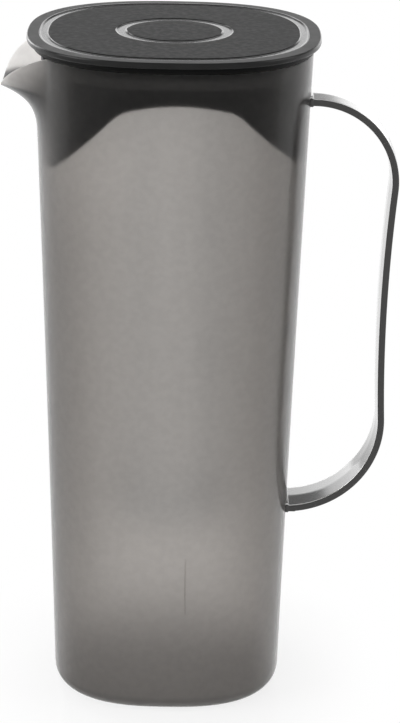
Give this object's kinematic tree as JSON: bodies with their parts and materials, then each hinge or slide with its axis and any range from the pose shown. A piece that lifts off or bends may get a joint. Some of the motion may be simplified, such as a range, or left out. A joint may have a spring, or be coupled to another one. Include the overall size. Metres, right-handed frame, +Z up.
{
  "type": "fruit infuser pitcher",
  "caption": "Tall frosted jug with a wide pouring lip, a strap handle, a lift-off strainer lid and a slotted infuser basket that twists into the lid.",
  "frame": {"origin": "centre of the jug's base, on the surface that it stands on", "axes": "+Z up, -X towards the pouring lip, +X towards the handle, -Y towards the viewer of the picture"},
  "size_m": [0.1618, 0.1176, 0.28],
  "materials": {
    "frosted_smoke": "frosted, see-through smoke grey",
    "strap_smoke": "glossy smoke grey",
    "polished_black": "polished",
    "matte_inlay": "fine matte grain",
    "skirt_black": "satin",
    "silicone_black": "soft matte",
    "clear_plastic": "clear"
  },
  "bodies": {
    "jug": {"jug_body": "frosted_smoke", "handle": "strap_smoke", "handle_upper_bracket": "strap_smoke", "handle_lower_bracket": "strap_smoke"},
    "lid": {"lid_cover": "polished_black", "lid_panel": "matte_inlay", "lid_disc": "matte_inlay", "lid_skirt": "skirt_black", "lid_seal": "silicone_black", "infuser_socket": "skirt_black"},
    "infuser": {"infuser_basket": "clear_plastic"},
    "cap": {"infuser_cap": "clear_plastic"}
  },
  "joints": [
    {"name": "lid_lift", "type": "slide", "parent": "jug", "child": "lid", "axis": [0, 0, 1], "range_m": [0, 0.215]},
    {"name": "infuser_twist", "type": "hinge", "parent": "lid", "child": "infuser", "pos_m": [0, 0, 0.264], "axis": [0, 0, 1], "range_deg": [0, 60]},
    {"name": "infuser_cap_twist", "type": "hinge", "parent": "infuser", "child": "cap", "pos_m": [0, 0, 0.08], "axis": [0, 0, 1], "range_deg": [0, 40]}
  ]
}
